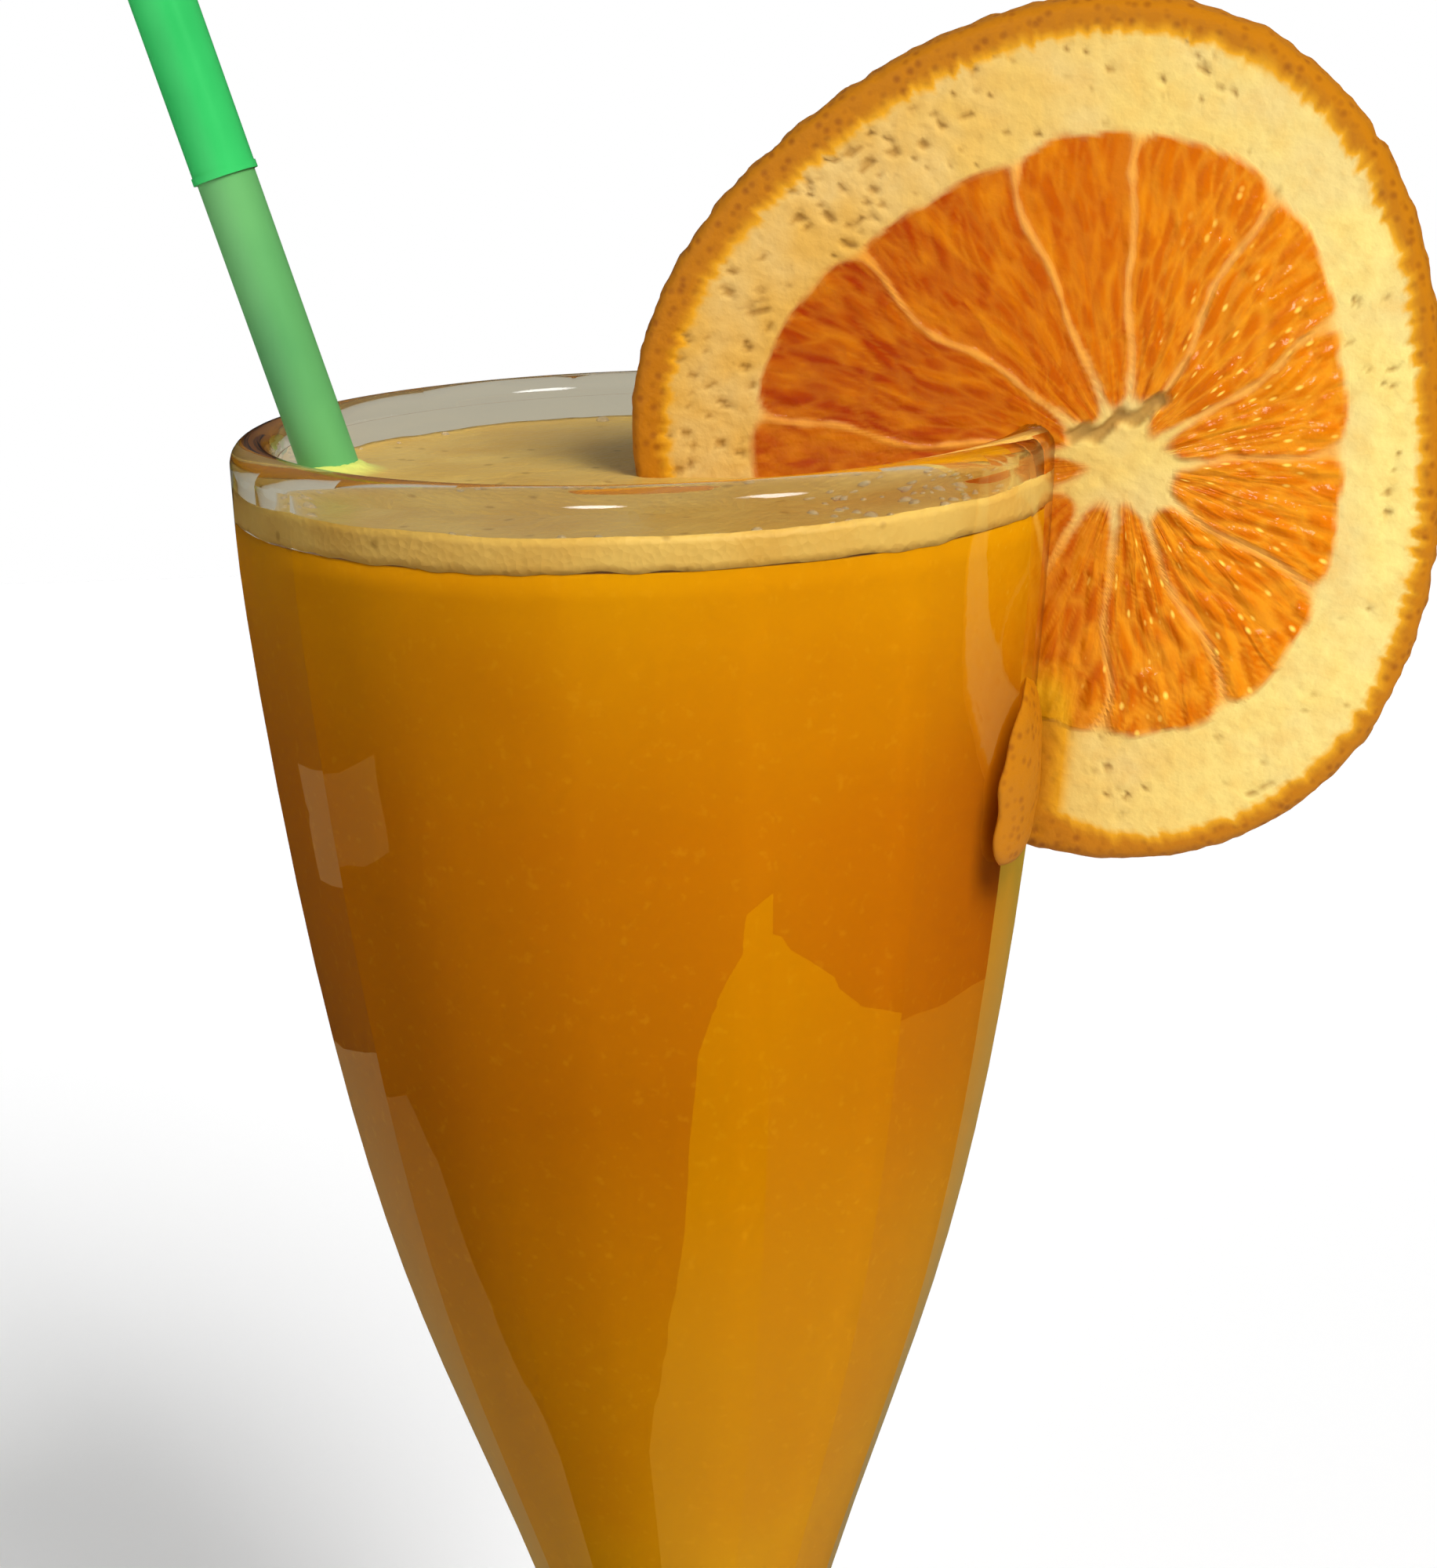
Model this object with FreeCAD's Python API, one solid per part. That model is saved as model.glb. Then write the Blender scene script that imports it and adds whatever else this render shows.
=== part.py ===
"""Footed juice glass filled with orange juice, with a straw and an orange slice on its rim.

Millimetres, +Z up. The origin is the middle of the flat underside of the foot.
Depths are measured down from the rim, and sides are angles about the glass's axis from +X.
"""
import FreeCAD, Part
import math
import os

os.makedirs("parts", exist_ok=True)

# Glass
glass_height = 190.0
mouth_radius = 38.55       # widest outer radius, a little below the rim
wall = 4.2
stem_height = 43.0         # table up to the neck, where the bowl starts
solid_floor = 13.0         # neck up to the lowest point inside
neck_radius = 7.2
stem_radius = 6.2          # narrowest part of the stem
stem_narrow_height = 30.0  # height of that part above the table
foot_radius = 34.0
foot_edge = 3.6            # thickness of the foot at its edge
foot_crown_radius = 12.3   # where the foot's top meets the stem's flare
foot_crown = 9.0           # and the height there
flute_count = 16
flute_side = -97.4         # side of one ridge between two flutes
flute_flatness = 0.8       # 0 leaves the bowl round, 1 makes each flute flat across
flute_fade_top = 14.0      # the flutes fade in below the lip over this depth
flute_fade_neck = 24.0     # and fade out above the neck
# The bowl's outer line: share of the bowl's depth, share of the way from neck to mouth radius
bowl_line = (
    (0.000, 0.992), (0.055, 1.000), (0.150, 0.970), (0.367, 0.842),
    (0.585, 0.619), (0.762, 0.344), (0.850, 0.212), (1.000, 0.000),
)

# Drink
froth_drop = 4.6           # rim down to the froth's top
froth_depth = 2.8

# Straw: a tube whose upper end slides in a slightly wider sleeve
tube_radius = 2.78
tube_wall = 0.22
sleeve_wall = 0.22
straw_rim_side = 171.6     # where it leans on the rim
straw_end_side = -30.0     # where its lower end lies
straw_end_lift = 8.7       # lower end above the lowest point inside the glass
straw_play = 0.3           # between the straw and the glass
join_height = 23.0         # sleeve's lower end above the rim
straw_height = 69.0        # sleeve's upper end above the rim
tube_in_sleeve = 12.0
bead_length = 0.7          # rolled edge at the sleeve's lower end
bead_rise = 0.12

# Orange slice, stood on the rim by a slit
slice_radius = 37.3
slice_lobes = 2.2          # three soft corners of the fruit's outline
slice_oval = 1.1           # and its slight oval
slice_oval_turn = 14.0
slice_thickness = 7.0
slice_side = -12.0         # where it sits on the rim
slice_shift = 1.4          # its middle, outward from the middle of the wall
slice_drop = 1.9           # its middle, below the rim
slit_play = 0.3            # between the slit and the outside of the glass

Z_AXIS = FreeCAD.Vector(0, 0, 1)
ORIGIN = FreeCAD.Vector(0, 0, 0)

lip_radius = wall / 2
lip_height = glass_height - lip_radius
bowl_depth = glass_height - stem_height    # rim down to the neck
cavity_depth = bowl_depth - solid_floor    # rim down to the lowest point inside
sleeve_radius = tube_radius + sleeve_wall


def at(radius, height):
    """A point of a section, drawn in the XZ plane."""
    return FreeCAD.Vector(radius, 0, height)


def polar(radius, side, height):
    """A point at a radius and a side round the glass's axis."""
    angle = math.radians(side)
    return FreeCAD.Vector(radius * math.cos(angle), radius * math.sin(angle), height)


def smooth(points, start=None, end=None):
    """A smooth curve through the points, with set directions at its ends if given."""
    curve = Part.BSplineCurve()
    if start is None:
        curve.interpolate(points)
    else:
        curve.interpolate(Points=points, InitialTangent=start, FinalTangent=end)
    return curve


def turned(edges):
    """The solid made by turning a closed section once round the glass's axis."""
    face = Part.Face(Part.Wire(edges))
    return face.revolve(ORIGIN, Z_AXIS, 360)


def line(a, b):
    return Part.LineSegment(a, b).toShape()


def ease(share):
    """Eases from 0 to 1 as share goes from 0 to 1."""
    share = min(max(share, 0.0), 1.0)
    return share * share * (3 - 2 * share)


bowl_curve = smooth([
    at(neck_radius + across * (mouth_radius - neck_radius), glass_height - down * bowl_depth)
    for down, across in bowl_line
])


def bowl_radius(depth):
    """Outer radius of the bowl, on a ridge, at a depth below the rim."""
    height = glass_height - depth
    low, high = bowl_curve.FirstParameter, bowl_curve.LastParameter
    for _ in range(40):
        middle = (low + high) / 2
        if bowl_curve.value(middle).z > height:
            low = middle
        else:
            high = middle
    return bowl_curve.value(low).x


def cavity_radius(depth):
    """Inner radius of the glass at a depth, above the rounded floor."""
    return bowl_radius(depth) - wall


def flute_section(depth):
    """The bowl's outline at a depth: one arc for each flute, between two ridges."""
    fade_in = ease((depth - lip_radius) / flute_fade_top)
    fade_out = ease((bowl_depth - depth) / flute_fade_neck)
    flatness = flute_flatness * min(fade_in, fade_out)
    radius = bowl_radius(depth)
    height = glass_height - depth
    pitch = 360.0 / flute_count
    sagitta = radius * (1 - math.cos(math.radians(pitch / 2)))
    middle_radius = radius - flatness * sagitta
    edges = []
    for index in range(flute_count):
        side = flute_side + index * pitch
        arc = Part.Arc(
            polar(radius, side, height),
            polar(middle_radius, side + pitch / 2, height),
            polar(radius, side + pitch, height),
        )
        edges.append(arc.toShape())
    return Part.Wire(edges)


def make_cavity():
    """The whole inside of the glass up to the rim, as a solid."""
    side_depth = cavity_depth - 2 * wall
    count = 9
    points = [at(cavity_radius(0), glass_height)]
    points += [
        at(cavity_radius(side_depth * i / count), glass_height - side_depth * i / count)
        for i in range(1, count + 1)
    ]
    floor = at(0, glass_height - cavity_depth)
    first_step = points[1].sub(points[0])
    side = smooth(points + [floor], start=first_step, end=FreeCAD.Vector(-first_step.Length, 0, 0))
    return turned([
        line(at(0, glass_height), points[0]),
        side.toShape(),
        line(floor, at(0, glass_height)),
    ])


def make_stem_and_foot():
    """The stem, flared into a round foot with a rounded edge and a flat underside."""
    edge_radius = foot_edge / 2
    edge_middle = foot_radius - edge_radius
    neck = at(neck_radius, stem_height)
    edge_top = at(edge_middle, foot_edge)
    side = smooth(
        [
            neck,
            at(stem_radius, stem_narrow_height),
            at(foot_crown_radius, foot_crown),
            edge_top,
        ],
        start=bowl_curve.tangent(bowl_curve.LastParameter)[0] * stem_height,
        end=FreeCAD.Vector(foot_radius, 0, -foot_edge),
    )
    rim = Part.Arc(edge_top, at(foot_radius, edge_radius), at(edge_middle, 0)).toShape()
    return turned([
        line(at(0, stem_height), neck),
        side.toShape(),
        rim,
        line(at(edge_middle, 0), ORIGIN),
        line(ORIGIN, at(0, stem_height)),
    ])


def make_lip():
    """The fire-polished lip: a half-round ring on top of the wall."""
    middle = cavity_radius(lip_radius) + lip_radius
    inner = at(middle - lip_radius, lip_height)
    outer = at(middle + lip_radius, lip_height)
    crown = Part.Arc(inner, at(middle, glass_height), outer).toShape()
    return turned([crown, line(outer, inner)])


def make_glass(cavity):
    section_count = 12
    bowl_span = bowl_depth - lip_radius
    depths = [lip_radius + bowl_span * i / section_count for i in range(section_count + 1)]
    bowl = Part.makeLoft([flute_section(depth) for depth in depths], True, False)
    below_lip = Part.makeCylinder(2 * mouth_radius, lip_height)
    body = bowl.fuse(make_stem_and_foot()).cut(cavity.common(below_lip))
    return body.fuse(make_lip()).removeSplitter()


def make_slice(cavity):
    """A cut of the fruit, upright across the rim, its slit open downward over the wall."""
    across = cavity_radius(0) + wall / 2 + slice_shift
    up = glass_height - slice_drop
    half = slice_thickness / 2
    count = 36
    points = []
    for index in range(count):
        angle = 2 * math.pi * index / count
        radius = slice_radius - slice_lobes * math.cos(3 * angle)
        radius -= slice_oval * math.cos(2 * angle - math.radians(2 * slice_oval_turn))
        x = across + radius * math.cos(angle)
        points.append(FreeCAD.Vector(x, half, up + radius * math.sin(angle)))
    outline = Part.BSplineCurve()
    outline.interpolate(points, PeriodicFlag=True)
    face = Part.Face(Part.Wire([outline.toShape()]))
    whole = face.extrude(FreeCAD.Vector(0, -slice_thickness, 0))
    whole.rotate(ORIGIN, Z_AXIS, slice_side)
    slit_depth = slice_drop + slice_radius + 2 * slice_lobes
    count = 6
    points = [
        at(bowl_radius(slit_depth * i / count) + slit_play, glass_height - slit_depth * i / count)
        for i in range(count + 1)
    ]
    wall_room = turned([
        line(at(0, glass_height), points[0]),
        smooth(points).toShape(),
        line(points[-1], at(0, glass_height - slit_depth)),
        line(at(0, glass_height - slit_depth), at(0, glass_height)),
    ])
    return whole.cut(wall_room.cut(cavity))


def straw_line():
    """Lower end and direction of the straw, which leans on the rim and on the wall below."""
    end_depth = cavity_depth - straw_end_lift
    lip_reach = cavity_radius(lip_radius)
    end_reach = cavity_radius(end_depth) - tube_radius - straw_play
    end = polar(end_reach, straw_end_side, glass_height - end_depth)
    lean = math.atan2(lip_reach + end_reach, end_depth)
    reach = lip_reach - tube_radius / math.cos(lean) - straw_play
    contact = polar(reach, straw_rim_side, lip_height)
    return end, contact.sub(end).normalize()


def point_on_straw(end, direction, height):
    return end + direction * ((height - end.z) / direction.z)


def pipe(start, direction, length, outer, inner):
    rod = Part.makeCylinder(outer, length, start, direction)
    return rod.cut(Part.makeCylinder(inner, length, start, direction))


def make_straw():
    """The tube, the sleeve over its upper end, and the rod of space that the tube fills."""
    end, direction = straw_line()
    join = point_on_straw(end, direction, glass_height + join_height)
    top = point_on_straw(end, direction, glass_height + straw_height)
    tube_length = (join - end).Length + tube_in_sleeve
    tube = pipe(end, direction, tube_length, tube_radius, tube_radius - tube_wall)
    sleeve = pipe(join, direction, (top - join).Length, sleeve_radius, tube_radius)
    bead = pipe(join, direction, bead_length, sleeve_radius + bead_rise, tube_radius)
    rod = Part.makeCylinder(tube_radius, tube_length, end, direction)
    return tube, sleeve.fuse(bead).removeSplitter(), rod


def filled(cavity, low, high):
    """The part of the inside of the glass between two depths below the rim."""
    floor = FreeCAD.Vector(-mouth_radius, -mouth_radius, glass_height - low)
    slab = Part.makeBox(2 * mouth_radius, 2 * mouth_radius, low - high, floor)
    return cavity.common(slab)


cavity = make_cavity()
glass = make_glass(cavity)
orange_slice = make_slice(cavity)
straw_tube, straw_sleeve, straw_rod = make_straw()

juice_drop = froth_drop + froth_depth
juice = filled(cavity, cavity_depth, juice_drop).cut(straw_rod).cut(orange_slice)
froth = filled(cavity, juice_drop, froth_drop).cut(straw_rod).cut(orange_slice)

pieces = {
    "glass": glass,
    "juice": juice,
    "froth": froth,
    "straw_tube": straw_tube,
    "straw_sleeve": straw_sleeve,
    "orange_slice": orange_slice,
}
for name, shape in pieces.items():
    shape.exportStep("parts/" + name + ".step")
    box = shape.BoundBox
    print(name, "solids", len(shape.Solids), "valid", shape.isValid(), "volume", round(shape.Volume),
          "x", round(box.XMin, 1), round(box.XMax, 1), "y", round(box.YMin, 1), round(box.YMax, 1),
          "z", round(box.ZMin, 1), round(box.ZMax, 1))
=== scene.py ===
import math

import bmesh
import bpy
import numpy as np
from mathutils import Matrix, Vector, noise


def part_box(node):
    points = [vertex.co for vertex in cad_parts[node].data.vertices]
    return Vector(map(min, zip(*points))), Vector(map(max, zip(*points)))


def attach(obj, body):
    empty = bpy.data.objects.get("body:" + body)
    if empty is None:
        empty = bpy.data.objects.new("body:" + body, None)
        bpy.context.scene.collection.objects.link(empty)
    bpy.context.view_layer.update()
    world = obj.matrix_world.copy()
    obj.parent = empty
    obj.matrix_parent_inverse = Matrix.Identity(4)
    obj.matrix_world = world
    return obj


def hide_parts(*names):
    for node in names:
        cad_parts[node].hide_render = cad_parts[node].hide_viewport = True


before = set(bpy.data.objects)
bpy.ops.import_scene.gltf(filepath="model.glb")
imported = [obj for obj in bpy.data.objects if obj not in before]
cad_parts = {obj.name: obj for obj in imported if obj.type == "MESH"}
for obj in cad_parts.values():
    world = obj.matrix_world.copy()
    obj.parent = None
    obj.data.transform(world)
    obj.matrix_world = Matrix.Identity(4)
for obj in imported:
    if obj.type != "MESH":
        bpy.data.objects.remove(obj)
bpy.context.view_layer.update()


# ---------------------------------------------------------------- the glass
# A footed juice glass of pressed soda-lime glass, fire-polished after it left
# the mould. Sixteen shallow flutes run down the outside; the inside is round.
MM = 0.001                     # sizes are in millimetres, and the frame in metres
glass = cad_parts["glass"]
clear_tint = "E6E4DA"          # thick pressed glass takes a little of the light
lamp_tint = "F0F1EC"           # and less of the lamp's light on its way through
glass_ior = 1.52
mould_ripple_mm = 14.0         # slow waves left by the mould's cooling
mould_ripple_depth = 0.05


def linear(colour):
    """Turns an sRGB hex colour into the linear RGBA that a socket takes."""
    channels = [int(colour[i:i + 2], 16) / 255 for i in (0, 2, 4)]
    return [c / 12.92 if c <= 0.04045 else ((c + 0.055) / 1.055) ** 2.4
            for c in channels] + [1.0]


def add(tree, kind, settings=None, links=None):
    """Adds a node, with its properties and inputs set and its inputs linked."""
    made = tree.nodes.new("ShaderNode" + kind)
    for name, value in (settings or {}).items():
        if isinstance(name, int) or name in made.inputs:
            made.inputs[name].default_value = value
        else:
            setattr(made, name, value)
    for name, source in (links or {}).items():
        tree.links.new(source, made.inputs[name])
    return made


def new_material(name):
    """An empty node material, with its output node."""
    material = bpy.data.materials.new(name)
    material.use_nodes = True
    material.node_tree.nodes.clear()
    return material, material.node_tree, add(material.node_tree, "OutputMaterial")


def position_mm(tree):
    """The point on the surface, in millimetres from the middle of the foot."""
    place = add(tree, "TexCoord").outputs["Object"]
    return add(tree, "VectorMath", {"operation": "SCALE", "Scale": 1 / MM},
               {0: place}).outputs[0]


def dress(piece, material):
    """Gives a piece its one material."""
    piece.data.materials.clear()
    piece.data.materials.append(material)


# Pressed soda-lime glass: clear, bright at its edges, faintly rippled. Light
# from the lamp goes straight through it, so that the drink behind it is lit.
pressed_glass, tree, output = new_material("pressed_soda_lime_glass")
ripple = add(tree, "TexNoise", {"Scale": 1 / mould_ripple_mm, "Detail": 1.0},
             {"Vector": position_mm(tree)})
ripple_bump = add(tree, "Bump", {"Strength": mould_ripple_depth, "Distance": 1 * MM},
                  {"Height": ripple.outputs["Fac"]})
clear = add(tree, "BsdfPrincipled", {
    "Base Color": linear(clear_tint), "Roughness": 0.0, "IOR": glass_ior,
    "Transmission Weight": 1.0}, {"Normal": ripple_bump.outputs[0]})
lamp_passes = add(tree, "BsdfTransparent", {"Color": linear(lamp_tint)})
rays = add(tree, "LightPath")
mixed = add(tree, "MixShader", {}, {
    0: rays.outputs["Is Shadow Ray"], 1: clear.outputs[0], 2: lamp_passes.outputs[0]})
tree.links.new(mixed.outputs[0], output.inputs["Surface"])
dress(glass, pressed_glass)


# ---------------------------------------------------------------- the juice
# Orange juice with fine pulp, opaque after a few millimetres. It fills the
# glass to the froth, and its side reaches just into the wall it wets.
wets = 0.15 * MM               # how far the drink reaches into the wall
into_froth = 0.2 * MM          # and how far its top reaches into the froth
juice_levels, juice_around = 90, 128
gather_low = 1.6               # over 1, so the levels lie closer near the bottom
froth_low, froth_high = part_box("froth")
juice_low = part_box("juice")[0]


def inside_radius(height):
    """Radius of the inside of the glass at a height, felt out from its axis."""
    hit, place, _, _ = glass.ray_cast(Vector((0, 0, height)), Vector((0, 1, 0)))
    return math.hypot(place.x, place.y) if hit else 0.0


def mesh_piece(name, verts, faces, smooth=True):
    """A new mesh object from vertices and faces, in metres."""
    mesh = bpy.data.meshes.new(name)
    mesh.from_pydata([tuple(v) for v in verts], [], faces)
    mesh.validate()
    if smooth:
        mesh.shade_smooth()
    piece = bpy.data.objects.new(name, mesh)
    bpy.context.scene.collection.objects.link(piece)
    return piece


def closed_turn(rings):
    """Vertices and faces of a closed form: equal rings, and one point at each end."""
    around = len(rings[1])
    verts = [rings[0][0]] + [p for ring in rings[1:-1] for p in ring] + [rings[-1][0]]
    faces = []
    for i in range(around):
        faces.append((0, 1 + (i + 1) % around, 1 + i))
    for k in range(len(rings) - 3):
        for i in range(around):
            a, b = 1 + k * around + i, 1 + k * around + (i + 1) % around
            faces.append((a, b, b + around, a + around))
    last, base = len(verts) - 1, 1 + (len(rings) - 3) * around
    for i in range(around):
        faces.append((base + i, base + (i + 1) % around, last))
    return verts, faces


def ring(radius, height, count):
    """A level ring of points round the glass's axis."""
    turns = [2 * math.pi * i / count for i in range(count)]
    return [(radius * math.cos(t), radius * math.sin(t), height) for t in turns]


juice_rings = [[(0, 0, juice_low[2] - wets)]]
for level in np.linspace(0, 1, juice_levels)[1:] ** gather_low:
    height = juice_low[2] + (froth_low[2] - juice_low[2]) * level
    juice_rings.append(ring(inside_radius(height) + wets, height, juice_around))
juice_top = froth_low[2] + into_froth
for share in (0.8, 0.4):
    juice_rings.append(ring(inside_radius(froth_low[2]) * share, juice_top, juice_around))
juice_rings.append([(0, 0, juice_top)])
juice = mesh_piece("orange_juice", *closed_turn(juice_rings))
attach(juice, "root")
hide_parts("juice")

# Cloudy orange juice: matt in the glass, since it wets the wall, with slow clouds of thicker
# pulp and fine flecks, and a painted shadow of the slice, darker and redder, beside the fruit.
cloud_mm, fleck_mm = 26.0, 1.1
tone_low_mm, tone_high_mm = 60.0, 184.0     # its colour changes between these heights
slice_shadow_at_mm = (34.0, -6.0, 150.0)            # the painted shadow of the slice is centred here
slice_shadow_full_mm, slice_shadow_gone_mm = 8.0, 36.0       # full inside the one, gone at the other
cloudy_juice, tree, output = new_material("cloudy_orange_juice")
place = position_mm(tree)
clouds = add(tree, "TexNoise", {"Scale": 1 / cloud_mm, "Detail": 3.0, "Roughness": 0.5},
             {"Vector": place})
depth = add(tree, "SeparateXYZ", {}, {0: place})
deep = add(tree, "MapRange", {"From Min": tone_low_mm, "From Max": tone_high_mm},
           {"Value": depth.outputs["Z"]})
body = add(tree, "ValToRGB", {}, {0: deep.outputs[0]})
body.color_ramp.elements[0].color = linear("C48E04")
body.color_ramp.elements[1].color = linear("C98A03")
for share, colour in ((0.32, "BA7C02"), (0.58, "AC6502"), (0.80, "B86E03")):
    body.color_ramp.elements.new(share).color = linear(colour)
cloud_share = add(tree, "MapRange", {"From Min": 0.35, "From Max": 0.7, "To Max": 0.5},
                  {"Value": clouds.outputs["Fac"]})
clouded = add(tree, "Mix", {"data_type": "RGBA", 7: linear("B26804")},
              {0: cloud_share.outputs[0], 6: body.outputs[0]})
flecks = add(tree, "TexNoise", {"Scale": 1 / fleck_mm, "Detail": 2.0}, {"Vector": place})
fleck_share = add(tree, "MapRange", {"From Min": 0.6, "From Max": 0.75, "To Max": 0.18},
                  {"Value": flecks.outputs["Fac"]})
pulpy = add(tree, "Mix", {"data_type": "RGBA", 7: linear("D89A1C")},
            {0: fleck_share.outputs[0], 6: clouded.outputs[2]})
# Painted shadow: the juice is darker and redder round the place where the slice's shadow
# falls.
from_slice_shadow = add(tree, "VectorMath", {"operation": "DISTANCE", 1: slice_shadow_at_mm}, {0: place})
slice_shadow_share = add(tree, "MapRange", {
    "From Min": slice_shadow_full_mm, "From Max": slice_shadow_gone_mm, "To Min": 0.55, "To Max": 0.0},
    {"Value": from_slice_shadow.outputs["Value"]})
slice_shadowed_juice = add(tree, "Mix", {"data_type": "RGBA", 7: linear("9E4402")},
             {0: slice_shadow_share.outputs[0], 6: pulpy.outputs[2]})
drink = add(tree, "BsdfPrincipled", {"Roughness": 0.7, "Specular IOR Level": 0.0},
            {"Base Color": slice_shadowed_juice.outputs[2]})
tree.links.new(drink.outputs[0], output.inputs["Surface"])
dress(juice, cloudy_juice)


# ---------------------------------------------------------------- the froth
# A thin head of fine foam on the juice. It climbs a little up the glass, the
# straw and the fruit, and its underside is uneven where pulp hangs from it.
straw_at = np.array([-29.8, 4.3]) * MM      # where the straw goes through it
straw_radius = 2.8 * MM
climb, climb_reach = 0.45 * MM, 1.2 * MM    # up the glass, and how far in from it
straw_climb = 2.5 * climb
sag = 0.4 * MM                              # how unevenly its lower edge hangs
froth_wets = wets * 1.3                     # into the wall, just past the drink
froth_around, edge_levels, top_rings = 256, 5, 60


def froth_top(x, y, wall_radius):
    """Height of the froth's top at a place."""
    gap = wall_radius - math.hypot(x, y)
    rise = climb * math.exp(-max(gap, 0) / climb_reach)
    off = max(math.hypot(x - straw_at[0], y - straw_at[1]) - straw_radius, 0)
    rise += straw_climb * math.exp(-off / climb_reach)
    grain = noise.noise(Vector((x, y, 0)) / (2.2 * MM)) * 0.09 * MM
    grain += noise.noise(Vector((x, y, 5 * MM)) / (9 * MM)) * 0.16 * MM
    return froth_high[2] - 0.2 * MM + rise + grain


underside = froth_low[2] - 0.1 * MM
froth_rings = [[(0, 0, underside)]]
for share in (0.3, 0.6, 0.9):
    froth_rings.append(ring(inside_radius(froth_low[2]) * share, underside, froth_around))
edge_radius = inside_radius(froth_high[2]) + froth_wets
for k in range(edge_levels):
    edge = []
    for c, s, _ in ring(1, 0, froth_around):
        hang = noise.noise(Vector((c, s, 0)) * 4.0)
        hang += 0.6 * noise.noise(Vector((c, s, 3)) * 13.0)
        low = froth_low[2] + 0.1 * MM + sag * hang
        high = froth_top(c * edge_radius, s * edge_radius, edge_radius)
        height = low + (high - low) * k / (edge_levels - 1)
        radius = inside_radius(height) + froth_wets
        edge.append((c * radius, s * radius, height))
    froth_rings.append(edge)
for share in np.linspace(1, 0, top_rings)[1:-1]:
    level = ring(edge_radius * share, 0, froth_around)
    froth_rings.append([(x, y, froth_top(x, y, edge_radius)) for x, y, _ in level])
froth_rings.append([(0, 0, froth_top(0, 0, edge_radius))])
froth = mesh_piece("froth_layer", *closed_turn(froth_rings))
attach(froth, "root")
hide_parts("froth")

# Juice foam: pale, softly shiny and fine-grained, of bubbles a fraction of a millimetre
# across, with larger dark ones here and there, and painted green light round the straw, as
# light through the green straw would give.
foam_patch_mm, foam_cell_mm, foam_pore_mm = 9.0, 0.7, 3.4
froth_face_mm = 185.8               # height of its top by the straw
juice_foam, tree, output = new_material("juice_foam")
place = position_mm(tree)
patches = add(tree, "TexNoise", {"Scale": 1 / foam_patch_mm, "Detail": 4.0},
              {"Vector": place})
patch_share = add(tree, "MapRange", {"From Min": 0.35, "From Max": 0.68},
                  {"Value": patches.outputs["Fac"]})
foam = add(tree, "Mix", {
    "data_type": "RGBA", 6: linear("CAA654"), 7: linear("C09642")},
    {0: patch_share.outputs[0]})
cells = add(tree, "TexVoronoi", {"Scale": 1 / foam_cell_mm}, {"Vector": place})
pores = add(tree, "TexVoronoi", {"Scale": 1 / foam_pore_mm}, {"Vector": place})
pore_share = add(tree, "MapRange", {
    "From Min": 0.08, "From Max": 0.17, "To Min": 0.55, "To Max": 0.0},
    {"Value": pores.outputs["Distance"]})
pored = add(tree, "Mix", {"data_type": "RGBA", 7: linear("8A6420")},
            {0: pore_share.outputs[0], 6: foam.outputs[2]})
# Painted light: a pale green glow on the foam round the straw.
by_straw = add(tree, "VectorMath", {
    "operation": "DISTANCE", 1: (straw_at[0] / MM, straw_at[1] / MM, froth_face_mm)},
    {0: place})
straw_light_share = add(tree, "MapRange", {
    "From Min": 3.0, "From Max": 5.4, "To Min": 0.85, "To Max": 0.0},
    {"Value": by_straw.outputs["Value"]})
straw_lit_foam = add(tree, "Mix", {"data_type": "RGBA", 7: linear("D2DC6C")},
              {0: straw_light_share.outputs[0], 6: pored.outputs[2]})
foam_bump = add(tree, "Bump", {"Strength": 0.35, "Distance": 0.2 * MM},
                {"Height": cells.outputs["Distance"]})
wet_foam = add(tree, "BsdfPrincipled", {"Roughness": 0.42, "Specular IOR Level": 0.35},
               {"Base Color": straw_lit_foam.outputs[2], "Normal": foam_bump.outputs[0]})
tree.links.new(wet_foam.outputs[0], output.inputs["Surface"])
dress(froth, juice_foam)

# Larger bubbles that have gathered on the froth, most of them by the fruit
# and along the glass: thin domes, each a little sunk in.
bubble_count, bubble_tries = 70, 400
by_fruit, by_fruit_degrees = (24, 33.4), (-62, -22)     # how far out, and which way
small_bubble, large_bubble = (0.25, 0.55), (0.6, 1.0)   # radii
wall_reach, straw_reach = 34.0, 3.6                     # where glass and straw begin
sunk, flattened = 0.25, 0.8                             # shares of a bubble's radius
rng = np.random.default_rng(7)
bubble_mesh = bmesh.new()
spots = []
for _ in range(bubble_tries):
    if len(spots) >= bubble_count:
        break
    if rng.random() < 0.45:
        reach, turn = rng.uniform(*by_fruit), math.radians(rng.uniform(*by_fruit_degrees))
    else:
        reach, turn = wall_reach - 0.4 - abs(rng.normal(0, 0.7)), rng.uniform(0, 2 * math.pi)
    size = rng.uniform(*small_bubble) if rng.random() < 0.8 else rng.uniform(*large_bubble)
    x, y = reach * math.cos(turn), reach * math.sin(turn)
    crowded = any(math.hypot(x - a, y - b) < size + c for a, b, c in spots)
    off_straw = math.hypot(x - straw_at[0] / MM, y - straw_at[1] / MM)
    if reach + size <= wall_reach and not crowded and off_straw >= straw_reach + size:
        spots.append((x, y, size))
for x, y, size in spots:
    height = froth_top(x * MM, y * MM, edge_radius) - sunk * size * MM
    bmesh.ops.create_icosphere(
        bubble_mesh, subdivisions=2, radius=size * MM,
        matrix=Matrix.Translation((x * MM, y * MM, height))
        @ Matrix.Diagonal((1, 1, flattened, 1)))
mesh = bpy.data.meshes.new("froth_bubbles")
bubble_mesh.to_mesh(mesh)
bubble_mesh.free()
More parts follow.
